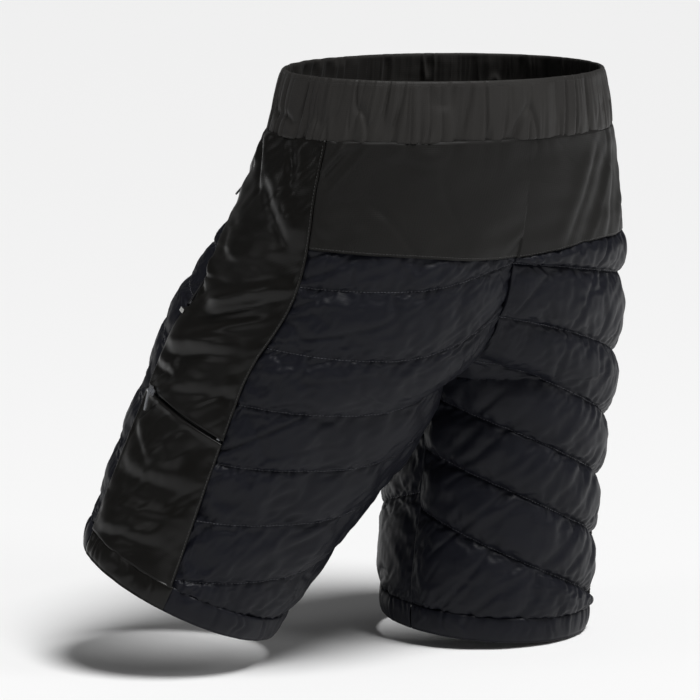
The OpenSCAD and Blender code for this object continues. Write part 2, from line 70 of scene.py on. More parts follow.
# Half width, reach to the front and reach to the back of each ring
RINGS = np.array([
    [168, 107, 119], [183, 116, 121], [202, 131, 114], [215, 144, 103],
    [217, 147, 94], [214, 132, 90], [215, 100, 94]], float)
LEG_INSET = 6.0
ALLOWANCE = 2.5
CENTRE_GAP = 0.4
WAIST_TILT = 5.0
STRIDE = {1: (20.0, 19.0, 2.0), -1: (5.0, -3.0, -6.0)}
# Where the leg's cloth is pulled flat: by how much, about which angle, over what angle and depth
FLAT = {1: (17.0, 142.0, 34.0, 395.0), -1: (3.0, 150.0, 30.0, 300.0)}
HIP = np.array([90.0, 45.0, -190.0])
SWING_START, SWING_END, SWING_ACROSS = 89.6, 330.0, 130.0
HAND_TOP, HAND_END, HAND_GAP = 88.0, 288.0, 13.0
THIGH = 375.0
SEAM_GAP, LEAF = 0.15, 1.4
# The ring radius that turns an angle into a width of cloth, and the band's length round the waist
ROUND, WAIST_ROUND, BAND_ROUND = 112.0, 900.0, 940.0
# How far down the waist's tilt fades and over what reach it is measured; the height drawn flat
TILT_FADE, TILT_REACH, FLAT_HEIGHT = 150.0, 110.0, 105.0
# The quilt's outer and inner faces below the surface
OUTER_LEVEL, INNER_LEVEL = -2.6, -4.4
# The cloth simulation: steps, share it is cut larger, filling's pressure, furthest move, and how
# far in, how far out and in what share sideways its movement is used
CLOTH_STEPS, GROWTH, PRESSURE, FURTHEST = 18, 0.016, 1.2, 6.0
SIM_IN, SIM_OUT, SIM_SLIDE = -1.6, 4.0, 0.8


# ---------- Numbers ----------
def mix(a, b, t):
    """The straight blend from a to b by share t."""
    return a + (b - a) * t


def smooth(t):
    """The S curve 3t^2 - 2t^3, held at 0 and 1 outside its ends."""
    t = np.clip(t, 0, 1)
    return t * t * (3 - 2 * t)


def bell(x, width):
    """A Gauss bell of x with the given half width."""
    return np.exp(-(x / width) ** 2)


def noise(x, y, seed):
    """Value noise: random numbers on a unit lattice, joined by S curves; about -1 to 1."""
    table = np.random.default_rng(seed).uniform(-1, 1, (64, 64))
    i, j = np.floor(x).astype(int), np.floor(y).astype(int)
    s, t = smooth(x - i), smooth(y - j)
    at = lambda p, q: table[p % 64, q % 64]
    return mix(mix(at(i, j), at(i + 1, j), s), mix(at(i, j + 1), at(i + 1, j + 1), s), t)


def ridges(x, y, seed):
    """Sharp-topped noise: one less twice the noise's size, so that its zero lines become ridges."""
    return 1 - 2 * np.abs(noise(x, y, seed))


def ends_closer(n, pull=0.75):
    """n + 1 shares from 0 to 1 that lie closer at both ends, by a sine taken off the line."""
    t = np.linspace(0, 1, n + 1)
    return t - pull * np.sin(2 * np.pi * t) / (2 * np.pi)


# ---------- The garment's surface ----------
def rings_at(h):
    """Cubic curves through the rings, each slope the chord between its neighbours."""
    last = len(RING_DEPTH) - 1
    low = np.maximum(np.arange(last + 1) - 1, 0)
    high = np.minimum(np.arange(last + 1) + 1, last)
    slope = (RINGS[high] - RINGS[low]) / (RING_DEPTH[high] - RING_DEPTH[low])[:, None]
    i = np.clip(np.searchsorted(RING_DEPTH, h, side="right") - 1, 0, last - 1)
    d = (RING_DEPTH[i + 1] - RING_DEPTH[i])[..., None]
    t = np.clip((h - RING_DEPTH[i])[..., None] / d, 0, 1)
    return (RINGS[i] * (1 + 2 * t) * (1 - t) ** 2 + slope[i] * d * t * (1 - t) ** 2
            + RINGS[i + 1] * t * t * (3 - 2 * t) - slope[i + 1] * d * t * t * (1 - t))


def oval(h):
    """Centre x, centre y, half width and half depth of the left ring at depth h."""
    r = rings_at(h)
    outer, front, back = r[..., 0], r[..., 1], r[..., 2]
    share = np.clip((h - BAND) / (RISE - BAND), 0, 1)
    above = np.where(h <= BAND, -outer, CENTRE_GAP - outer * (1 - share ** 1.4))
    below = mix(CENTRE_GAP, LEG_INSET, smooth(2 * (h - RISE) / (OUTSEAM - RISE)))
    inner = np.where(h < RISE, above, below)
    return (outer + inner) / 2, (back - front) / 2, (outer - inner) / 2, (front + back) / 2


def turned(p, axis, degrees):
    """p turned about the x, y or z axis by an angle of its own for each point."""
    c, s = np.cos(np.radians(degrees)), np.sin(np.radians(degrees))
    x, y, z = p[..., 0], p[..., 1], p[..., 2]
    if axis == "x":
        return np.stack([x, y * c - z * s, y * s + z * c], -1)
    if axis == "y":
        return np.stack([x * c + z * s, y, -x * s + z * c], -1)
    return np.stack([x * c - y * s, x * s + y * c, z], -1)


def plain(side, a, h, off=0.0):
    """A ring point at angle a and depth h, off outside it, then swung with its leg about the hip.
    Behind the inner thigh the cloth is pulled flat, which a wide bell draws in. The bell's angle
    doesn't wrap at 180 degrees, so the front panel's edge is left out and the inseam has a step."""
    a, h = np.broadcast_arrays(np.asarray(a, float), np.asarray(h, float))
    depth, round_, width, height = FLAT[side]
    off = off - depth * bell(a - round_, width) * bell(h - height, FLAT_HEIGHT)
    cx, cy, rx, ry = oval(h)
    c, s = np.cos(np.radians(a)), np.sin(np.radians(a))
    nx, ny = c / rx, s / ry
    n = np.hypot(nx, ny)
    x, y = cx + rx * c + off * nx / n, cy + ry * s + off * ny / n
    z = -h - WAIST_TILT * (1 - smooth(h / TILT_FADE)) * y / TILT_REACH
    late = smooth((h - RISE) / (OUTSEAM - RISE))
    w = smooth((h - SWING_START) / (SWING_END - SWING_START)) * mix(late, 1, smooth(x / SWING_ACROSS))
    flex, spread, turn = STRIDE[side]
    p = np.stack([x, y, z], -1) - HIP
    p = turned(turned(turned(p, "z", turn * w), "x", -flex * w), "y", -spread * w) + HIP
    return p * np.array([side, 1, 1])


def centre_angle(h, gap=CENTRE_GAP):
    """The angle at which a ring meets the centre plane or closes on the inseam."""
    cx, _, rx, _ = oval(h)
    return np.degrees(np.arccos(np.clip((gap - cx) / rx, -np.cos(np.radians(gap / 2)), 1)))


def front_seam(h):
    """The front side seam's angle: 42 degrees forward at the waistband, easing to 19 on the leg."""
    return -mix(42.0, 19.0, np.minimum((h - BAND) / (HAND_END + 10 - BAND), 1))


def back_seam(h):
    """The back side seam's angle: 20 degrees behind at the waistband, 47 at the hem."""
    return mix(20.0, 47.0, (h - BAND) / (OUTSEAM - BAND))


def yoke_edge(a):
    """Depth of the yoke's lower edge, which dips towards the centre back."""
    return YOKE + YOKE_DIP * smooth((a - 60) / 45)


def as_angle(length, h):
    """An angle as wide as a length at depth h."""
    return np.degrees(length / oval(h)[3])


def hand_zip_gap(h, elsewhere):
    """Half the hand zip's opening beside it and another gap above and below it, smoothly joined."""
    zipped = smooth((h - HAND_TOP + 2) / 2.5) * smooth((HAND_END + 2 - h) / 2.5)
    return mix(elsewhere, HAND_GAP / 2, zipped)


def circle(p, q, r):
    """Centre, axis and radius of the circle through three points."""
    a, b = q - p, r - p
    n = np.cross(a, b)
    c = ((b @ b) * np.cross(n, a) + (a @ a) * np.cross(b, n)) / (2 * n @ n)
    return p + c, n / np.linalg.norm(n), np.linalg.norm(c)


def onto_circle(k, p):
    """The circle's point nearest to p."""
    q = p - k[0]
    f = q - (q @ k[1])[..., None] * k[1]
    return k[0] + f / np.linalg.norm(f, axis=-1, keepdims=True) * k[2]


HAND_ARC, THIGH_ARC = {}, {}
for one in SIDES.values():
    HAND_ARC[one] = circle(*[plain(one, front_seam(np.array(d)), d)
                             for d in (HAND_TOP, (HAND_TOP + HAND_END) / 2, HAND_END)])
    a0, a1 = front_seam(np.array(THIGH)), back_seam(THIGH)
    THIGH_ARC[one] = circle(*[plain(one, a, THIGH) for a in (a0, (a0 + a1) / 2, a1)])


def skin(side, a, h, off=0.0):
    """The garment's surface: the plain one, drawn to the arcs of the hand and thigh zips."""
    a, h = np.broadcast_arrays(np.asarray(a, float), np.asarray(h, float))
    p = plain(side, a, h, off)
    seam = plain(side, front_seam(h), h)
    near = (1 - smooth(np.abs(a - front_seam(h)) / 30)) * ((h > HAND_TOP) & (h < HAND_END))
    p = p + (onto_circle(HAND_ARC[side], seam) - seam) * near[..., None]
    level = plain(side, a, np.full_like(h, THIGH))
    across = (a > front_seam(np.array(THIGH))) & (a < back_seam(THIGH))
    near = (1 - smooth(np.abs(h - THIGH) / 60)) * across
    return p + (onto_circle(THIGH_ARC[side], level) - level) * near[..., None]


# ---------- Meshes ----------
def normals_of(grid, side):
    """Outward unit normals of a grid of points, from its central differences."""
    n = np.cross(np.gradient(grid, axis=0), np.gradient(grid, axis=1))
    n /= np.linalg.norm(n, axis=-1, keepdims=True) + 1e-12
    return n * side


def along(grid, axis):
    """Distance run along one axis of a grid of points, from its first row."""
    step = np.linalg.norm(np.diff(grid, axis=axis), axis=-1)
    zero = np.zeros_like(np.take(step, [0], axis=axis))
    return np.cumsum(np.concatenate([zero, step], axis=axis), axis=axis)


def edge_distance(grid):
    """Distances to the four edges of a grid, in its own two directions."""
    u, v = along(grid, 0), along(grid, 1)
    return u, u[-1:] - u, v, v[:, -1:] - v


def rolled(distance, width, depth):
    """How far cloth rolls in at an edge: a quarter round of the given width and depth."""
    t = np.clip(1 - distance / width, 0, 1)
    return -depth * (1 - np.sqrt(1 - t * t))


def add_object(name, data):
    """A scene object for a mesh, light or camera, at the origin."""
    obj = bpy.data.objects.new(name, data)
    bpy.context.scene.collection.objects.link(obj)
    return obj


def quads(grid):
    """The point numbers of a grid, and its four-sided faces."""
    nu, nv = grid.shape[:2]
    index = np.arange(nu * nv).reshape(nu, nv)
    faces = np.stack([index[:-1, :-1], index[1:, :-1], index[1:, 1:], index[:-1, 1:]], -1)
    return index, faces.reshape(-1, 4)


def make(name, points, faces, material, uv=None):
    """A mesh object from points in millimetres and lists of point numbers. Its four-sided faces
    are smooth, and a cap with more sides is flat."""
    mesh = bpy.data.meshes.new(name)
    mesh.from_pydata((points * MM).tolist(), [], faces)
    mesh.update()
    if uv is not None:
        layer = mesh.uv_layers.new(name="Cloth")
        index = np.empty(len(mesh.loops), np.int32)
        mesh.loops.foreach_get("vertex_index", index)
        layer.data.foreach_set("uv", (uv[index] * MM).astype(np.float32).ravel())
    mesh.polygons.foreach_set("use_smooth", [len(f) == 4 for f in faces])
    mesh.materials.append(material)
    obj = add_object(name, mesh)
    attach(obj, "root")
    return obj


def slab(name, outer, inner, side, material, uv):
    """A closed sheet: an outer grid, an inner grid and the four edges between them."""
    index, quad = quads(outer)
    far = index.size
    rims = [np.stack([e[1:], e[:-1], e[:-1] + far, e[1:] + far], -1)
            for e in (index[:, 0], index[-1, :], index[::-1, -1], index[0, ::-1])]
    faces = np.concatenate([quad, quad[:, ::-1] + far, *rims])
    if side < 0:
        faces = faces[:, ::-1]
    points = np.concatenate([outer.reshape(-1, 3), inner.reshape(-1, 3)])
    uv = np.concatenate([uv.reshape(-1, 2)] * 2)
    return make(name, points, faces.tolist(), material, uv)


def hoop(name, grid, side, material, uv, closed):
    """A closed profile carried along stations; its two ends are capped where it isn't closed."""
    nu, nv = grid.shape[:2]
    index = np.arange(nu * nv).reshape(nu, nv)
    across = np.roll(index, -1, axis=1)
    after, after_across = (np.roll(x, -1, axis=0) for x in (index, across))
    if not closed:
        index, across, after, after_across = (x[:-1] for x in (index, across, after, after_across))
    faces = np.stack([index, after, after_across, across], -1).reshape(-1, 4)
    faces = (faces if side > 0 else faces[:, ::-1]).tolist()
    if not closed:
        first, last = list(range(nv)), [(nu - 1) * nv + i for i in range(nv)]
        faces += [first if side > 0 else first[::-1], last[::-1] if side > 0 else last]
    return make(name, grid.reshape(-1, 3), faces, material, uv.reshape(-1, 2))


def stitches(name, rows, pitch, length, thick, material):
    """Rows of sewn stitches: along each path, a six-sided thread bump of the given length and
    thickness every pitch, its ends dipping into the cloth. rows holds (path, normals)."""
    ring = np.radians(np.arange(0, 360, 60))
    stations = np.array([[-0.5, 0.15, -0.55], [-0.25, 1, 0.1], [0.25, 1, 0.1], [0.5, 0.15, -0.55]])
    shape = np.array([[s[0] * length, np.cos(r) * s[1] * thick / 2, np.sin(r) * s[1] * thick / 2
                       + s[2] * thick / 2]
                      for s in stations for r in ring])
    k = np.arange(6)
    walls = [np.stack([i * 6 + k, i * 6 + (k + 1) % 6, (i + 1) * 6 + (k + 1) % 6, (i + 1) * 6 + k],
                      -1)[:, ::-1]
             for i in range(3)]
    caps = np.array([[0, 1, 2, 3], [0, 3, 4, 5], [21, 20, 19, 18], [23, 22, 21, 18]])
    one = np.concatenate([*walls, caps])[:, ::-1]
    points, faces = [], []
    count = 0
    for path, normal in rows:
        run = np.concatenate([[0], np.cumsum(np.linalg.norm(np.diff(path, axis=0), axis=1))])
        at = np.arange(pitch / 2, run[-1], pitch)
        if len(at) < 2:
            continue
        here = np.stack([np.interp(at, run, path[:, i]) for i in range(3)], -1)
        ahead = np.stack([np.interp(at + 0.3, run, path[:, i]) for i in range(3)], -1)
        behind = np.stack([np.interp(at - 0.3, run, path[:, i]) for i in range(3)], -1)
        t = ahead - behind
        t /= np.linalg.norm(t, axis=1, keepdims=True) + 1e-12
        n = np.stack([np.interp(at, run, normal[:, i]) for i in range(3)], -1)
        n -= (n * t).sum(1, keepdims=True) * t
        n /= np.linalg.norm(n, axis=1, keepdims=True) + 1e-12
        b = np.cross(n, t)
        p = (here[:, None] + shape[None, :, :1] * t[:, None] + shape[None, :, 1:2] * b[:, None]
             + shape[None, :, 2:] * n[:, None])
        points.append(p.reshape(-1, 3))
        faces.append((one[None] + (count + np.arange(len(at)) * 24)[:, None, None]).reshape(-1, 4))
        count += len(at) * 24
    make(name, np.concatenate(points), np.concatenate(faces).tolist(), material)


def topstitch(name, outer, side, line):
    """A row of black stitches along one line of a panel's outer grid."""
    n = normals_of(outer, side)[line]
    stitches(name, [(outer[line] + n * 0.05, n)], 3.0, 2.1, 0.4, SEAM_THREAD)


# ---------- Materials ----------
def linear(hex_colour):
    """An sRGB hex colour as linear red, green, blue and alpha."""
    c = np.array([int(hex_colour[i:i + 2], 16) for i in (1, 3, 5)]) / 255
    return (*np.where(c <= 0.04045, c / 12.92, ((c + 0.055) / 1.055) ** 2.4), 1.0)


def node(tree, kind, links=None, **settings):
    """Adds a node, sets its properties or sockets by name, and links its inputs."""
    made = tree.nodes.new(kind)
    for key, value in settings.items():
        if hasattr(made, key) and key not in made.inputs:
            setattr(made, key, value)
        else:
            made.inputs[key.replace("_", " ")].default_value = value
    for key, source in (links or {}).items():
        tree.links.new(source, made.inputs[key])
    return made


def surface(name, colour, roughness, **sockets):
    """A Principled material with constants on its own sockets; returns material, tree, shader."""
    material = bpy.data.materials.new(name)
    material.use_nodes = True
    tree = material.node_tree
    shader = tree.nodes["Principled BSDF"]
    shader.inputs["Base Color"].default_value = linear(colour)
    shader.inputs["Roughness"].default_value = roughness
    for key, value in sockets.items():
        shader.inputs[key.replace("_", " ")].default_value = value
    return material, tree, shader


def threads(tree, coords, pitch, angle, waver=0.15):
    """Parallel threads, turned by an angle in degrees: a sine wave whose crests lie two pitches
    apart, in millimetres, and waver by a share of that."""
    place = node(tree, "ShaderNodeMapping", {"Vector": coords}, Rotation=(0, 0, np.radians(angle)))
    return node(tree, "ShaderNodeTexWave", {"Vector": place.outputs["Vector"]}, wave_type="BANDS",
                bands_direction="X", Scale=1 / (pitch * MM) / 20 * np.pi,
                Distortion=waver).outputs["Fac"]


def add_cloth_detail(tree, shader, colour, pale, weave, weave_depth, crease, crease_depth):
    """Woven cloth: two crossed sets of threads as bump, fine creases as bump, and a slow change of
    tone from dye and handling. weave and crease are sizes in millimetres."""
    uv = node(tree, "ShaderNodeUVMap", uv_map="Cloth").outputs["UV"]
    warp, weft = threads(tree, uv, weave, 0), threads(tree, uv, weave, 90)
    both = node(tree, "ShaderNodeMath", {0: warp, 1: weft}, operation="ADD").outputs[0]
    obj = node(tree, "ShaderNodeTexCoord").outputs["Object"]
    lean = node(tree, "ShaderNodeMapping", {"Vector": uv}, Rotation=(0, 0, np.radians(-45)),
                Scale=(0.45, 1, 1))
    fine = node(tree, "ShaderNodeTexNoise", {"Vector": lean.outputs["Vector"]}, Scale=1 / (crease * MM),
                noise_type="RIDGED_MULTIFRACTAL", Detail=3.0, Roughness=0.55).outputs["Fac"]
    bump = node(tree, "ShaderNodeBump", {"Height": fine}, Distance=crease_depth * MM, Strength=1.0)
    bump = node(tree, "ShaderNodeBump", {"Height": both, "Normal": bump.outputs["Normal"]},
                Distance=weave_depth * MM, Strength=1.0)
    tree.links.new(bump.outputs["Normal"], shader.inputs["Normal"])
    slow = node(tree, "ShaderNodeTexNoise", {"Vector": obj}, Scale=14.0, Detail=3.0).outputs["Fac"]
    tone = node(tree, "ShaderNodeMix", {"Factor": slow}, data_type="RGBA")
    tone.inputs[6].default_value = linear(colour)
    tone.inputs[7].default_value = linear(pale)
    tree.links.new(tone.outputs[2], shader.inputs["Base Color"])


def calendered_nylon():
    """Down-proof nylon taffeta, calendered: bluish black with a soft gloss on each pucker.
    Threads are drawn 2.2 mm apart, coarser than life, so that they show."""
    material, tree, shader = surface("calendered nylon taffeta", "#101116", 0.46, IOR=1.53,
                                     Specular_IOR_Level=0.15,
                                     Sheen_Weight=0.01, Sheen_Roughness=0.35,
                                     Sheen_Tint=linear("#8f93a6"))
    add_cloth_detail(tree, shader, "#0f1016", "#14151c", 1.1, 0.012, 14.0, 0.5)
    return material


def stretch_satin():
    """Polyester elastane double weave with a satin face: warm black with broad sheen."""
    material, tree, shader = surface("satin stretch weave", "#12110f", 0.34, IOR=1.5,
                                     Specular_IOR_Level=0.21,
                                     Sheen_Weight=0.01, Sheen_Roughness=0.4,
                                     Sheen_Tint=linear("#a09a8e"))
    add_cloth_detail(tree, shader, "#0a0908", "#100f0d", 0.9, 0.03, 20.0, 0.35)
    return material


def matt_stretch(name, dark, pale, crease, depth):
    """The stretch weave's matt side, brushed: no gloss, only a faint bloom at the folds."""
    material, tree, shader = surface(name, dark, 0.55, IOR=1.5, Specular_IOR_Level=0.2,
                                     Sheen_Weight=0.04, Sheen_Roughness=0.4)
    add_cloth_detail(tree, shader, dark, pale, 0.9, 0.04, crease, depth)
    return material


def lining_taffeta():
    """Plain polyester taffeta: smooth, black and a little glossy."""
    material, tree, shader = surface("polyester lining taffeta", "#101114", 0.4, IOR=1.55)
    add_cloth_detail(tree, shader, "#0f1013", "#16171b", 1.0, 0.01, 14.0, 0.4)
    return material


def knitted_elastic():
    """Covered rubber knitted into a ribbed white band: matt, with a rib every 6 mm."""
    material, tree, shader = surface("knitted elastic", "#d9d8d2", 0.8, IOR=1.5, Sheen_Weight=0.2)
    uv = node(tree, "ShaderNodeUVMap", uv_map="Cloth").outputs["UV"]
    ribs = threads(tree, uv, 3.0, 90, 0.4)
    bump = node(tree, "ShaderNodeBump", {"Height": ribs}, Distance=0.5 * MM, Strength=1.0)
    tree.links.new(bump.outputs["Normal"], shader.inputs["Normal"])
    return material


def zip_tape_weave():
    """Woven polyester zip tape: a matt dark grey herringbone."""
    material, tree, shader = surface("woven zip tape", "#17171a", 0.7, IOR=1.5, Specular_IOR_Level=0.25)
    obj = node(tree, "ShaderNodeTexCoord").outputs["Object"]
    rib = threads(tree, obj, 1.2, 45, 0.0)
    bump = node(tree, "ShaderNodeBump", {"Height": rib}, Distance=0.08 * MM, Strength=1.0)
    tree.links.new(bump.outputs["Normal"], shader.inputs["Normal"])
    return material


def nylon_coil():
    """Drawn nylon monofilament, dyed dark grey: smooth with a small gloss."""
    return surface("nylon coil", "#141417", 0.32, IOR=1.53)[0]


def plated_zinc(name, colour, roughness):
    """Die-cast zinc with a satin nickel plating, worn slightly in patches."""
    material, tree, shader = surface(name, colour, roughness, Metallic=1.0)
    obj = node(tree, "ShaderNodeTexCoord").outputs["Object"]
    worn = node(tree, "ShaderNodeTexNoise", {"Vector": obj}, Scale=600.0, Detail=4.0).outputs["Fac"]
    rough = node(tree, "ShaderNodeMapRange", {"Value": worn}, To_Min=roughness - 0.1, To_Max=roughness
                 + 0.2)
    tree.links.new(rough.outputs["Result"], shader.inputs["Roughness"])
    return material


def moulded_rubber():
    """Moulded soft PVC pull: matt charcoal with fine grain."""
    material, tree, shader = surface("moulded pull rubber", "#161617", 0.6, IOR=1.52)
    obj = node(tree, "ShaderNodeTexCoord").outputs["Object"]
    grain = node(tree, "ShaderNodeTexNoise", {"Vector": obj}, Scale=2500.0, Detail=3.0).outputs["Fac"]
    bump = node(tree, "ShaderNodeBump", {"Height": grain}, Distance=0.05 * MM, Strength=1.0)
    tree.links.new(bump.outputs["Normal"], shader.inputs["Normal"])
    return material


def sewing_thread(name, colour):
    """Corespun polyester thread: softly matt with a little sheen."""
    return surface(name, colour, 0.6, IOR=1.5, Sheen_Weight=0.3)[0]


QUILT, STRETCH, LINING = calendered_nylon(), stretch_satin(), lining_taffeta()
# The band is the same matt stretch weave as the yoke, but its colours are painted lighter: painted light for
# the band catching more light where it faces up.
LIT_BAND_CLOTH = matt_stretch("gathered stretch weave painted lighter", "#211f1e", "#2d2c2a", 16.0, 0.5)
YOKE_CLOTH = matt_stretch("matt stretch weave", "#0c0b0a", "#151412", 26.0, 0.7)
ELASTIC, TAPE, COIL = knitted_elastic(), zip_tape_weave(), nylon_coil()
METAL = plated_zinc("nickel plated zinc", "#b4b6ba", 0.32)
DARK_METAL = plated_zinc("black nickel plated zinc", "#4a4b50", 0.35)
RUBBER = moulded_rubber()
QUILT_THREAD = sewing_thread("grey blue thread", "#3b3c44")
SEAM_THREAD = sewing_thread("black thread", "#1e1d1b")
PALE_THREAD = sewing_thread("pale bar tack thread", "#a9a9a6")


# ---------- Folds ----------
def flat_uv(side, a, h):
    """The cloth's own coordinates in millimetres: arc round the ring and depth."""
    return np.stack([side * np.radians(a) * ROUND, -h], -1)


def fold(x, y, start, end, width, height):
    """One fold: a bell across the line from start to end with a narrow valley along its left,
    fading past both ends."""
    (x0, y0), (x1, y1) = start, end
    length = np.hypot(x1 - x0, y1 - y0)
    tx, ty = (x1 - x0) / length, (y1 - y0) / length
    run = (x - x0) * tx + (y - y0) * ty
    off = -(x - x0) * ty + (y - y0) * tx
    fade = smooth((run + length * 0.15) / (length * 0.35)) * smooth((length * 1.15
                                                                     - run) / (length * 0.35))
    return height * (bell(off, width) - 0.55 * bell(off - 1.25 * width, 0.5 * width)) * fade


def drags(x, y, seed, angle, spacing, reach):
    """Diagonal drag lines: ridged noise turned over into sharp valleys, long along one direction
    and close across it."""
    c, s = np.cos(np.radians(angle)), np.sin(np.radians(angle))
    run, off = x * c + y * s, -x * s + y * c
    off = off + 5 * noise(run / 60, off / 40, seed + 1)
    mask = smooth(0.5 + noise(x / 90, y / 90, seed + 2))
    return -ridges(off / spacing, run / reach, seed) * mask


def pocket_fullness(side, a, h):
    """How far the cloth round a hand pocket stands out: a wide bell in front of its zip, fuller on
    the left."""
    return (13.0 if side > 0 else 5.0) * bell(a + 46, 28) * bell(h - 186, 84)


def creases(x, y, seed, angle, spacing, reach, share):
    """Narrow valleys along a diagonal: the zero lines of stretched noise, sunk by a tight bell."""
    c, s = np.cos(np.radians(angle)), np.sin(np.radians(angle))
    run, off = x * c + y * s, -x * s + y * c
    mask = smooth(0.55 + 1.2 * noise(x / 70, y / 70, seed + 2))
    return -bell(noise(off / spacing, run / reach, seed), share) * mask


# ---------- Quilted panels ----------
# Depths of the quilting lines at the side seam, and how fast each rises towards the centre
LINES = [(200.0, 0.36), (277.0, 0.62), (339.0, 0.65), (395.0, 0.65), (449.0, 0.65), (505.0, 0.64)]
FRONT_LINES = [(112.0, 0.12), *LINES]


def line_depths(seam, lines, top):
    """The panel's level curves, as functions of angle: its top edge, quilting lines and hem line."""
    curves = [lambda a: top(a) - ALLOWANCE]
    for depth, rise in lines:
        curves.append(lambda a, depth=depth, rise=rise: depth - rise * np.maximum(
            np.abs(a) - abs(float(seam(np.array(depth)))), 0))
    curves.append(lambda a: np.full_like(a, HEM_LINE + ALLOWANCE))
    return curves


def quilt_grid(seam, sign, curves, columns, row_height, opening):
    """Angles and depths of a quilted panel whose rows follow its quilting lines. The depth where a
    row crosses a column is found by halving, because the seams' angles change with depth. Returns
    angle, depth, each row's share across its band, and the rows that are quilting lines."""
    u = ends_closer(columns, 0.6)
    band, share, line_rows = [], [], [0]
    for k in range(len(curves) - 1):
        widest = max(abs(float(curves[k + 1](np.array(a)) - curves[k](np.array(a)))) for a in (40.0,
                                                                                               100.0, 175.0))
        n = max(6, 2 * int(widest / row_height / 2))
        s = ends_closer(n, 0.65)
        s = s if k == len(curves) - 2 else s[:-1]
        band += [k] * len(s)
        share += list(s)
        line_rows.append(line_rows[-1] + n)
    band, share = np.array(band), np.array(share)
    U, S = np.meshgrid(u, share, indexing="ij")

    def angle(h):
        return mix(np.abs(seam(h)) + as_angle(opening(h), h), centre_angle(h) + as_angle(0.7, h), U)

    def row_depth(a):
        h = np.empty_like(a)
        for k in range(len(curves) - 1):
            pick = band == k
            top, foot = curves[k](a[:, pick]), curves[k + 1](a[:, pick])
            top = np.minimum(top, foot - 5.0)
            h[:, pick] = mix(top, foot, S[:, pick])
        return h

    low, high = np.full(U.shape, BAND - 5), np.full(U.shape, HEM_LINE + 5)
    for _ in range(36):
        middle = (low + high) / 2
        below = row_depth(angle(middle)) > middle
        low, high = np.where(below, middle, low), np.where(below, high, middle)
    h = (low + high) / 2
    return sign * angle(h), h, np.broadcast_to(share, U.shape), line_rows


def puff(share):
    """A filled channel's height across its width: steep at both lines, fullest below the middle."""
    t = np.abs(2 * share ** 1.15 - 1)
    return 1 - t ** 3.2


def puckers(x, distance, seed, pitch=6.0):
    """Gathers that a line of stitches draws up: short sharp valleys
    across it that fade within 10 mm."""
    wander = x + 3 * noise(x / 23, distance / 9, seed)
    return -ridges(wander / pitch, distance / 30, seed + 5) * np.exp(-distance / 6.5)


def meet_centre(grid, side, h, to_centre):
    """Draws a panel's last 16 mm sideways until its edge lies just past the centre plane, so that
    left and right close their seam above the crotch."""
    short = side * grid[-1:, :, 0] + 0.35
    above = 1 - smooth((h[-1:] - RISE + 4) / 14)
    drawn = grid.copy()
    drawn[..., 0] -= side * short * above * smooth(1 - to_centre / 16)
    return drawn


def sewn_cloth(grid, pinned, side):
    """Blender's cloth on the open grid, at every second point, held at its sewn lines. It is cut
    larger than the space between them by the growth and pushed out by the filling's pressure, so
    that it puckers. Returns how far each point of the full grid moved."""
    coarse = grid[::2, ::2]
    quad = quads(coarse)[1]
    mesh = bpy.data.meshes.new("sewn cloth")
    mesh.from_pydata((coarse.reshape(-1, 3) * MM).tolist(), [],
                     (quad if side > 0 else quad[:, ::-1]).tolist())
    obj = add_object("sewn cloth", mesh)
    held = obj.vertex_groups.new(name="sewn")
    held.add(np.flatnonzero(pinned[::2, ::2]).tolist(), 1.0, "REPLACE")
    settings = obj.modifiers.new("Cloth", "CLOTH").settings
    settings.quality, settings.mass = 5, 0.1
    settings.tension_stiffness = settings.compression_stiffness = 12
    settings.shear_stiffness, settings.bending_stiffness = 4, 0.1
    settings.vertex_group_mass = "sewn"
    settings.shrink_min = settings.shrink_max = -GROWTH
    settings.use_pressure, settings.uniform_pressure_force = True, PRESSURE
    settings.effector_weights.gravity = 0
    for step in range(1, CLOTH_STEPS + 1):
        bpy.context.scene.frame_set(step)
    posed = obj.evaluated_get(bpy.context.evaluated_depsgraph_get())
    place = np.empty(coarse.size, np.float32)
    posed.to_mesh().vertices.foreach_get("co", place)
    posed.to_mesh_clear()
    moved = place.reshape(coarse.shape).astype(float) / MM - coarse
    far = np.linalg.norm(moved, axis=-1, keepdims=True)
    moved *= np.minimum(1, FURTHEST / np.maximum(far, 1e-6))
    bpy.data.objects.remove(obj)
    bpy.context.scene.frame_set(1)
    return between(between(moved, 0), 1)


def between(coarse, axis):
    """A grid at twice the density along one axis, by the four-point curve through its values."""
    m = np.moveaxis(coarse, axis, 0)
    padded = np.concatenate([2 * m[:1] - m[1:2], m, 2 * m[-1:] - m[-2:-1]])
    middle = (9 * (padded[1:-2] + padded[2:-1]) - padded[:-3] - padded[3:]) / 16
    fine = np.empty((2 * len(m) - 1, *m.shape[1:]))
    fine[::2], fine[1::2] = m, middle
    return np.moveaxis(fine, 0, axis)


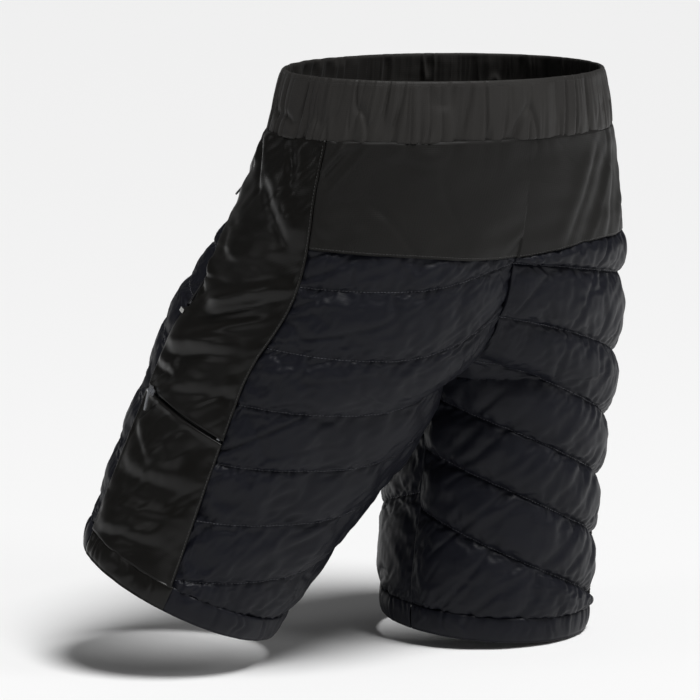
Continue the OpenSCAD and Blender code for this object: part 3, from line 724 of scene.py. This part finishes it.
def quilted_panel(side_name, place, height, drag, seed):
    """One quilted panel: a padded piece with its channels, a lining sheet behind it, and the rows
    of stitches along its quilting lines."""
    side = SIDES[side_name]
    back = place == "back"
    seam, sign = (back_seam, 1) if back else (front_seam, -1)
    lines = LINES if back else FRONT_LINES
    top = yoke_edge if back else (lambda a: np.full_like(a, BAND))

    def opening(h):
        return np.full_like(h, -ALLOWANCE) if back else hand_zip_gap(h, -ALLOWANCE)

    a, h, share, line_rows = quilt_grid(seam, sign, line_depths(seam, lines, top), 150, 1.9, opening)
    base = skin(side, a, h)
    face = side * sign
    n = normals_of(base, -face)
    uv = flat_uv(side, a, h)
    x, y = uv[..., 0], uv[..., 1]
    to_seam, to_centre, to_top, to_hem = edge_distance(base)
    down = along(base, 1)
    gap = np.min([np.abs(down - down[:, r:r + 1]) for r in line_rows], axis=0)
    rim = smooth((to_seam - 1) / (14 if back else 34)) * mix(0.45, 1, smooth(to_centre / 18))
    lift = height * puff(share) * rim
    pocket = pocket_fullness(side, a, h) * smooth(to_seam / 22)
    lift += pocket
    lift += 1.0 * puckers(x, gap, seed) + 0.6 * puckers(x, gap, seed + 8, 11.0)
    lift += 0.7 * puckers(y, to_seam, seed + 20, 7.0)
    # The thread draws a narrow groove along each quilting line
    lift -= (0.45 + 0.15 * height) * bell(gap, 1.7)
    open_cloth = smooth(gap / 9 + 0.25)
    lift += drag * drags(x, y, seed + 40, 47, 30.0, 170.0) * open_cloth
    lift += 0.55 * drag * drags(x, y, seed + 44, 40, 12.0, 60.0) * open_cloth
    lift += 0.35 * drag * drags(x, y, seed + 48, 62, 6.5, 26.0) * smooth(gap / 5)
    lift += 1.7 * drag * creases(x, y, seed + 52, 49, 36.0, 190.0, 0.09) * smooth(gap / 4 + 0.3)
    lift += 0.9 * drag * creases(x, y, seed + 56, 40, 17.0, 70.0, 0.12) * smooth(gap / 4 + 0.2)
    lift += 0.8 * noise(x / 17, y / 15, seed + 60) * smooth(gap / 8)
    lift += 0.28 * ridges(x / 8, y / 6, seed + 70) * smooth(gap / 4)
    outer_level = OUTER_LEVEL + lift
    for d in (to_seam, to_top, to_hem):
        outer_level = outer_level + rolled(d, 3.5, 1.6)
    outer_level = outer_level + rolled(to_centre, 2.5, 0.6)
    outer = base + n * outer_level[..., None]
    pinned = np.zeros(a.shape, bool)
    pinned[:, line_rows] = True
    pinned[:3] = pinned[-3:] = True
    pinned[:, :3] = pinned[:, -3:] = True
    moved = sewn_cloth(outer, pinned, -face)
    outward = np.clip((moved * n).sum(-1), SIM_IN, SIM_OUT)
    slid = moved - (moved * n).sum(-1, keepdims=True) * n
    outer_level = outer_level + outward
    outer = base + n * outer_level[..., None] + slid * SIM_SLIDE
    # The filling bulges inwards too, less than outwards
    inner_level = INNER_LEVEL - 2.6 * puff(share) * rim + pocket
    inner_level = np.minimum(inner_level, outer_level - 1.2)
    inner = base + n * inner_level[..., None]
    outer, inner = (meet_centre(g, side, h, to_centre) for g in (outer, inner))
    panel = slab(f"{side_name}_{place}_quilt", outer, inner, -face, QUILT, uv)
    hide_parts(f"{side_name}_{place}_shell", f"{side_name}_{place}_batting")
    lining_in = inner[::2, ::2] - n[::2, ::2] * 0.9
    lining_out = inner[::2, ::2] - n[::2, ::2] * 0.3
    lining = slab(f"{side_name}_{place}_lining_cloth", lining_out, lining_in, -face, LINING,
                  uv[::2, ::2])
    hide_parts(f"{side_name}_{place}_lining")
    n_outer = normals_of(outer, -face)
    rows = [(outer[:, r] + n_outer[:, r] * 0.12, n_outer[:, r]) for r in line_rows[1:-1]]
    stitches(f"{side_name}_{place}_quilting_stitches", rows, 3.2, 2.3, 0.55, QUILT_THREAD)


# ---------- Stretch-cloth panels ----------
def side_panel(side_name, part, seed):
    """A side panel above or below the thigh zip, with its soft folds."""
    side = SIDES[side_name]
    upper = part == "upper"
    u = ends_closer(90, 0.6)
    top, foot = (BAND - ALLOWANCE, THIGH - 1.0) if upper else (THIGH + 1.4, HEM_LINE + ALLOWANCE)
    v = ends_closer(200 if upper else 90, 0.5)
    U, H = np.meshgrid(u, mix(top, foot, v), indexing="ij")
    front = front_seam(H) + as_angle(hand_zip_gap(H, SEAM_GAP), H)
    a = mix(front, back_seam(H) - as_angle(SEAM_GAP, H), U)
    base = skin(side, a, H)
    n = normals_of(base, -side)
    uv = flat_uv(side, a, H)
    x, y = np.radians(a) * ROUND, H
    lift = np.zeros_like(a)
    folds = UPPER_FOLDS if upper else LOWER_FOLDS
    for (a0, h0), (a1, h1), width, height in folds:
        lift += fold(x, y, (np.radians(a0) * ROUND, h0), (np.radians(a1) * ROUND, h1), width, height)
    if side < 0:
        lift *= 0.7
    lift += 1.1 * noise(x / 30, y / 26, seed) + 0.45 * noise(x / 12, y / 11, seed + 1)
    lift += pocket_fullness(side, a, H) * 1.15
    lift += 1.5 * drags(x, -y, seed + 8, 38, 24.0, 110.0) + 0.6 * drags(x, -y, seed + 11, 52, 9.0, 50.0)
    to_front, to_back, to_top, to_foot = edge_distance(base)
    if upper:
        lift += 1.3 * ridges(x / 13 + 0.4 * noise(x / 30, y / 20, seed + 2), y / 90, seed
                             + 3) * np.exp(-to_top / 22)
    lift += 0.45 * puckers(y, to_back, seed + 4, 8.0) + 0.5 * puckers(y, to_front, seed + 6, 9.0)
    lift *= smooth(to_back / 9 + 0.15) * smooth(to_front / 9 + 0.2)
    lift += rolled(to_back, 2.6, 1.3) + rolled(to_front, 2.2, 0.9)
    if upper:
        lift += rolled(to_top, 3.6, 2.6)
        lift = lift * smooth(to_foot / 8 + 0.3) + rolled(to_foot, 1.4, 0.8) - 0.4 * bell(to_foot, 5)
    else:
        lift = lift * smooth(to_top / 8 + 0.3) + rolled(to_top, 1.2, 0.7) + 0.7 * bell(to_top - 1, 3.5)
        lift += rolled(to_foot, 2.6, 1.3)
    outer = base + n * lift[..., None]
    inner = base + n * (lift - LEAF)[..., None]
    piece = slab(f"{side_name}_side_{part}_cloth", outer, inner, -side, STRETCH, uv)
    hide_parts(f"{side_name}_side_{part}")
    topstitch(f"{side_name}_side_{part}_topstitch", outer, -side, np.s_[-4, 6:-6])


# Folds of the side panels: start and end as (angle, depth), width, height
UPPER_FOLDS = [
    ((-6, 262), (22, 203), 11.0, 4.2), ((-16, 330), (18, 290), 11.0, 4.4),
    ((-18, 345), (-2, 340), 8.0, 2.5),
    ((-6, 292), (20, 236), 12.0, -3.2), ((-17, 52), (-2, 100), 9.0, 4.0),
    ((-2, 76), (22, 150), 10.0, 3.8),
    ((-22, 54), (-22, 84), 5.0, 2.6), ((1, 54), (10, 84), 5.0, -1.4), ((8, 58), (16, 100), 6.0, 1.6),
    ((-14, 150), (-8, 190), 12.0, 1.8), ((-24, 210), (-16, 232), 6.0, 2.4),
    ((-22, 246), (-14, 262), 5.0, -2.0),
    ((0, 352), (34, 322), 9.0, 1.8),
]
LOWER_FOLDS = [
    ((-14, 440), (34, 415), 12.0, 2.8), ((-10, 470), (38, 438), 9.0, -1.8),
    ((-12, 498), (30, 474), 9.0, 1.8),
    ((-14, 400), (10, 420), 10.0, 1.5),
]


def back_yoke():
    """The yoke, one piece from side seam to side seam, smooth but for drag lines at its corners."""
    rows = ends_closer(70, 0.55)
    halves = []
    for side in (1, -1):
        u = ends_closer(110, 0.5)
        U, V = np.meshgrid(u, rows, indexing="ij")
        edge = yoke_edge(mix(back_seam(YOKE), 100, U))
        h = mix(BAND - ALLOWANCE, edge + 0.4, V)
        a = mix(back_seam(h) + as_angle(SEAM_GAP, h), centre_angle(h, 0.0), U)
        halves.append((a, h, skin(side, a, h), np.full_like(a, side)))
    join = lambda k: np.concatenate([halves[0][k], halves[1][k][::-1][1:]], axis=0)
    a, h, base, side = (join(k) for k in range(4))
    n = normals_of(base, -1)
    x, y = side * (90 - a) * 2.1, h
    uv = np.stack([x, -y], -1)
    lift = 1.8 * noise(x / 46, y / 36, 301) + 0.8 * noise(x / 17, y / 14, 302)
    lift += 0.9 * creases(x, -y, 310, 55, 30.0, 90.0, 0.12) + 0.5 * drags(x, -y, 314, 50, 14.0, 60.0)
    for (x0, h0), (x1, h1), width, height in YOKE_FOLDS:
        lift += fold(x, y, (x0, h0), (x1, h1), width, height)
    to_left, to_right, to_top, to_foot = edge_distance(base)
    lift -= 1.6 * ridges(x / 12 + 0.5 * noise(x / 30, y / 20, 305), y / 80, 306) * np.exp(-to_top / 13)
    lift += 0.7 * puckers(x, to_foot, 307, 9.0)
    lift *= smooth(np.minimum(to_left, to_right) / 8 + 0.2)
    lift += 1.2 * smooth(to_foot / 3 + 0.2) * smooth((30 - to_foot) / 20) * 0.5
    for d, depth in ((to_left, 1.5), (to_right, 1.5), (to_top, 2.6), (to_foot, 2.2)):
        lift += rolled(d, 3.4, depth)
    outer = base + n * lift[..., None]
    inner = base + n * (lift - LEAF)[..., None]
    piece = slab("back_yoke_cloth", outer, inner, -1, YOKE_CLOTH, uv)
    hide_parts("back_yoke")
    topstitch("back_yoke_topstitch", outer, -1, np.s_[3:-3, -5])


# Yoke folds in its own flat coordinates: across from the centre back (left positive) and depth
YOKE_FOLDS = [
    ((132, 60), (148, 92), 3.5, 3.0), ((120, 58), (138, 96), 5.0, -1.8),
    ((-62, 66), (-8, 156), 6.0, 1.8), ((-80, 80), (-30, 158), 6.0, -1.8),
    ((-96, 72), (-52, 158), 6.5, 1.8),
    ((-120, 96), (-78, 158), 6.0, 1.5), ((118, 140), (146, 116), 8.0, 1.6),
    ((60, 70), (96, 62), 8.0, 1.0),
]


# ---------- Waistband ----------
def waist_stations(count):
    """Side and angle of stations round the whole waist, from the centre front by the left side."""
    t = np.arange(count) / count * 360
    side = np.where(t < 180, 1, -1)
    return side, np.where(t < 180, t - 90, 270 - t), t


def waist_ring(profile, count, gather):
    """A profile of (depth, offset) carried round the waist, with gather added to its offsets."""
    side, a, t = waist_stations(count)
    depth, off = profile[:, 0][None], profile[:, 1][None]
    lift = off + gather(np.broadcast_to(t[:, None], (count, len(profile))), depth, off)
    left = plain(1, a[:, None], depth + 0 * lift, lift)
    right = plain(-1, a[:, None], depth + 0 * lift, lift)
    return np.where((side > 0)[:, None, None], left, right), t


def band_gathers(t, h, off):
    """Gathers round the band: narrow vertical folds at uneven spacing that lean and fade a little
    down the band; fewer and broader ones at the back."""
    r = t / 360 * WAIST_ROUND
    lean = 4 * noise(r / 45, h / 60, 401)
    wave = lambda pitch, seed: -ridges((r + lean) / pitch, h / 150 + 0 * r, seed)
    front = 0.75 + 0.25 * np.cos(np.radians(t))
    body = 1.7 * wave(21, 402) + 1.5 * wave(10, 403) * front + 0.5 * wave(4.5, 404) * front
    crease = lambda pitch, seed, share: -bell(noise((r + lean) / pitch, h / 70 + 0 * r, seed), share)
    body += 2.3 * crease(15, 406, 0.12) + 1.6 * crease(8, 408, 0.15) * (0.35
                                                                        + 0.65 * smooth((h - 20) / 30))
    # The folds die out at the centre front, where the band is joined into a ring
    return body * (1 - 0.5 * bell(h - 2, 5)) * smooth(np.minimum(t, 360 - t) / 5)


def waistband():
    """The gathered tunnel of the waistband and the elastic inside it."""
    cloth, inside = 0.8, 3.2
    down = np.linspace(5, BAND - 2.5, 26)
    turn = np.radians(np.linspace(0, 180, 9))
    top = [(4 - 3.6 * np.sin(q), -(inside + cloth) / 2
            + np.cos(q) * (inside + cloth) / 2) for q in turn[::-1]]
    top_in = [(4 - 2.4 * np.sin(q), -(inside + cloth) / 2
               + np.cos(q) * (inside - cloth) / 2) for q in turn]
    outer = [(h, 1.3 * np.sin(np.pi * (h - 3) / (BAND + 1)) ** 0.6) for h in down]
    foot = [(BAND - 1.4, 0.2), (BAND - 0.3, -0.9), (BAND - 0.5, -2.3), (BAND - 1.6, -2.6),
            (BAND - 2.2, -1.5)]
    inner_of_outer = [(h, o - cloth) for h, o in outer[::-2]]
    inner_leaf_out = [(h, -inside) for h in down[::2][:-1]]
    inner_foot = [(BAND - 2, -inside - 1.2), (BAND + 3.5, -6.0), (BAND + 3.5, -6.8),
                  (BAND - 2, -inside - cloth - 1.2)]
    inner_leaf_in = [(h, -inside - cloth) for h in down[::-1][2:]]
    profile = np.array(outer + foot + inner_of_outer + top_in + inner_leaf_out + inner_foot
                       + inner_leaf_in + top)
    count = 960

    def gather(t, h, off):
        depth = np.broadcast_to(h, t.shape)
        return band_gathers(t, depth, off) * np.where(np.abs(depth - BAND) < 0.6, 0.5, 1.0)

    grid, t = waist_ring(profile, count, gather)
    run = np.broadcast_to(np.arange(len(profile))[None] * 2.0, grid.shape[:2])
    uv = np.stack([np.broadcast_to((t / 360 * BAND_ROUND)[:, None], grid.shape[:2]), run], -1)
    cover = hoop("waistband_gathered_cover", grid, 1, LIT_BAND_CLOTH, uv, True)
    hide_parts("waistband_cover")
    rows = np.linspace(6, BAND - 6, 22)
    ribs = 0.12 * np.cos(np.arange(22) * np.pi)
    profile = np.array([(h, -1.05 + r) for h, r in zip(rows, ribs)]
                       + [(h, -2.75 - r) for h, r in zip(rows[::-1], ribs)])
    grid, t = waist_ring(profile, 500, lambda t, h,
                         off: 0.85 * band_gathers(t, np.broadcast_to(h, t.shape), off))
    uv = np.stack([np.broadcast_to((t / 360 * BAND_ROUND)[:, None], grid.shape[:2]),
                   np.broadcast_to(profile[:, 0][None], grid.shape[:2])], -1)
    band = hoop("waistband_knitted_elastic", grid, 1, ELASTIC, uv, True)
    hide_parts("waistband_elastic")


# ---------- Hems ----------
def hem(side_name, place, seed):
    """A turned hem: outer leaf, fold and inner leaf in one profile, carried along its panel."""
    side = SIDES[side_name]
    edge = lambda f: float(f(np.array(OUTSEAM)))
    limit = float(centre_angle(np.array(OUTSEAM)))
    gap = float(as_angle(SEAM_GAP, np.array(OUTSEAM)))
    lap = float(as_angle(1.2, np.array(OUTSEAM)))
    ends = {"front": (-limit, edge(front_seam) + lap),
            "side": (edge(front_seam) + gap, edge(back_seam) - gap),
            "back": (edge(back_seam) - lap, limit)}[place]
    fill = 1.0 if place == "side" else 1.4
    cloth = 0.7
    down = np.linspace(0, 1, 14)
    turn = np.radians(np.linspace(0, 180, 7))
    outer = [(HEM_LINE + 0.1 + 22.4 * s, -2.0 + (fill + 1.2) * np.sin(np.pi * s) ** 0.6 * 0.9
              - 0.2 * s) for s in down]
    fold_out = [(533.0 + 1.9 * np.sin(q), -3.0 + 1.3 * np.cos(q)) for q in turn[1:-1]]
    inner = [(HEM_LINE + 4.5 + 18.2 * s, -4.4 - 0.5 * np.sin(np.pi * s)) for s in down[::-1]]
    inner_back = [(h, o + cloth) for h, o in inner[::-1][:-2]]
    fold_in = [(532.4 + 0.9 * np.sin(q), -3.0 - 0.7 * np.cos(q)) for q in turn[1:-1]]
    outer_back = [(h, o - cloth) for h, o in outer[::-1][1:]]
    profile = np.array(outer + fold_out + inner + inner_back + fold_in + outer_back)
    count = int((ends[1] - ends[0]) * 1.1)
    a = mix(ends[0], ends[1], ends_closer(count, 0.4))
    A, H = np.broadcast_arrays(a[:, None], profile[:, 0][None])
    x = np.radians(A) * ROUND
    to_end = np.minimum(np.abs(x - x[:1]), np.abs(x - x[-1:]))
    drop = H - HEM_LINE
    soft = 0.8 * noise(x / 22, drop / 30, seed) - 1.2 * ridges(x / 8
                                                               + noise(x / 30, drop / 9, seed
                                                                       + 1) * 0.8,
                                                               drop / 50, seed + 2)
    lift = profile[:, 1][None] + soft * bell(drop - 7, 15) + rolled(to_end, 3.0, 1.2)
    grid = skin(side, A, H, lift)
    material, slot = (STRETCH, "stretch_cloth") if place == "side" else (QUILT, "quilt_shell")
    uv = np.stack([side * x, -H], -1)
    piece = hoop(f"{side_name}_turned_hem_{place}", grid, side, material, uv, False)
    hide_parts(f"{side_name}_hem_{place}")


# ---------- Pocket bags ----------
def bar_tack(side_name):
    """A pale bar tack across the foot of the hand zip: eight close rows of stitches."""
    side = SIDES[side_name]
    rows = []
    for h in np.linspace(HAND_END + 5.5, HAND_END + 9.5, 8):
        a = float(front_seam(np.array(h))) + float(as_angle(1.0, np.array(h))) * np.linspace(-4, 5, 12)
        path = skin(side, a, np.full(12, h), 0.9)
        out = path - skin(side, a, np.full(12, h), 0.0)
        rows.append((path, out / np.linalg.norm(out, axis=1, keepdims=True)))
    stitches(f"{side_name}_hand_zip_bar_tack", rows, 2.2, 2.6, 0.6, PALE_THREAD)


def pocket_bag(side_name, zip_name, seed):
    """A flat empty pocket bag: two leaves of lining sewn round, hanging behind its zip."""
    side = SIDES[side_name]
    hand = zip_name == "hand"
    depth = 10.6 if hand else 9.6
    u, v = ends_closer(40, 0.4), ends_closer(60, 0.4)
    U, V = np.meshgrid(u, v, indexing="ij")
    if hand:
        h = mix(HAND_TOP + 1, HAND_END + 18, V)
        a = mix(front_seam(h) - 33, front_seam(h) - 0.5, U)
    else:
        h = mix(THIGH + 1, mix(THIGH, HEM_LINE, 0.79), V)
        a = mix(front_seam(h) + 5, back_seam(h) - 5, U)
    base = skin(side, a, h, -depth)
    n = normals_of(base, -side)
    to_edges = np.min(edge_distance(base), axis=0)
    x, y = np.radians(a) * 100, h
    lift = 0.5 * noise(x / 18, y / 22, seed) + 0.5 * smooth(to_edges / 8) + rolled(to_edges, 2.0, 0.3)
    outer = base + n * lift[..., None]
    inner = base + n * (-0.7 - lift * 0.4)[..., None]
    piece = slab(f"{side_name}_{zip_name}_pocket_bag_cloth", outer, inner, -side, LINING,
                 flat_uv(side, a, h))
    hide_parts(f"{side_name}_{zip_name}_pocket_bag")


# ---------- Building ----------
waistband()
back_yoke()
for number, (name, side) in enumerate(SIDES.items()):
    seed = 10 + 100 * number
    quilted_panel(name, "back", 2.8 if side > 0 else 6.2, 1.5 if side > 0 else 1.3, seed)
    quilted_panel(name, "front", 2.2, 0.7, seed + 50)
    side_panel(name, "upper", seed + 70)
    side_panel(name, "lower", seed + 75)
    bar_tack(name)
    for place in ("front", "side", "back"):
        hem(name, place, seed + 80)
    for zip_name in ("hand", "thigh"):
        pocket_bag(name, zip_name, seed + 90)
        for part, material in (("tape", TAPE), ("coil", COIL), ("stops", METAL),
                               ("slider", METAL if zip_name == "thigh" else DARK_METAL),
                               ("pull", METAL if zip_name == "thigh" else RUBBER)):
            node_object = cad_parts[f"{name}_{zip_name}_zip_{part}"]
            node_object.data.materials.clear()
            node_object.data.materials.append(material)


# ---------- Floor, light and camera ----------
def floor():
    """A plain pale round floor, flat and wide: a polygon of 72 corners."""
    level = float(cad_low[2]) - 0.001
    round_ = np.radians(np.arange(0, 360, 5))
    corners = [(30 * np.cos(q), 30 * np.sin(q), level) for q in round_]
    mesh = bpy.data.meshes.new("floor")
    mesh.from_pydata(corners, [], [list(range(len(corners)))])
    mesh.materials.append(surface("pale floor paint", "#f6f6f6", 0.9)[0])
    add_object("floor", mesh)


def stand(obj, toward, up, place):
    """Turns an object's z axis along a direction and sets it at a place, in metres."""
    z = np.array(toward, float) / np.linalg.norm(toward)
    x = np.cross(up, z)
    x /= np.linalg.norm(x)
    columns = np.column_stack([x, np.cross(z, x), z, place])
    obj.matrix_world = Matrix([*columns.tolist(), [0, 0, 0, 1]])


def area_light(name, position, target, size, power):
    """A square soft box at a position, facing a target, both in metres."""
    data = bpy.data.lights.new(name, "AREA")
    data.size, data.energy = size, power
    stand(add_object(name, data), np.subtract(position, target), (0, 0, 1), position)


def camera():
    """A long lens behind the garment's left side, a little above it."""
    azimuth, elevation, distance = np.radians(40), np.radians(8.4), 3.3
    back = np.array([np.sin(azimuth) * np.cos(elevation), np.cos(azimuth) * np.cos(elevation),
                     np.sin(elevation)])
    right = np.array([-np.cos(azimuth), np.sin(azimuth), 0])
    up = np.cross(back, right)
    aim = np.array([0, 0, -0.27]) - 0.0828 * right + 0.0085 * up
    data = bpy.data.cameras.new("camera")
    data.sensor_width, data.lens = 36.0, 184.5
    data.clip_start, data.clip_end = 0.1, 60.0
    obj = add_object("camera", data)
    stand(obj, back, (0, 0, 1), aim + back * distance)
    bpy.context.scene.camera = obj


def sun(name, position, strength, spread):
    """A distant soft light shining from a position towards the origin."""
    data = bpy.data.lights.new(name, "SUN")
    data.energy, data.angle = strength, np.radians(spread)
    stand(add_object(name, data), position, (0, 1, 0), (0, 0, 3))


def studio():
    """Dim white surroundings, a wide soft light overhead and a tall soft box on either hand."""
    world = bpy.data.worlds.new("studio")
    world.use_nodes = True
    background = world.node_tree.nodes["Background"].inputs
    background["Color"].default_value = (1, 1, 1, 1)
    background["Strength"].default_value = 0.1
    bpy.context.scene.world = world
    bpy.context.scene.view_settings.view_transform = "Standard"
    sun("overhead", (-0.05, 0.42, 1.0), 3.05, 22)
    area_light("left soft box", (2.0, -0.7, 0.8), (0, 0, -0.25), 0.6, 2.6)
    area_light("right soft box", (-1.2, 2.2, 1.0), (0, 0, -0.25), 0.9, 9)


floor()
camera()
studio()
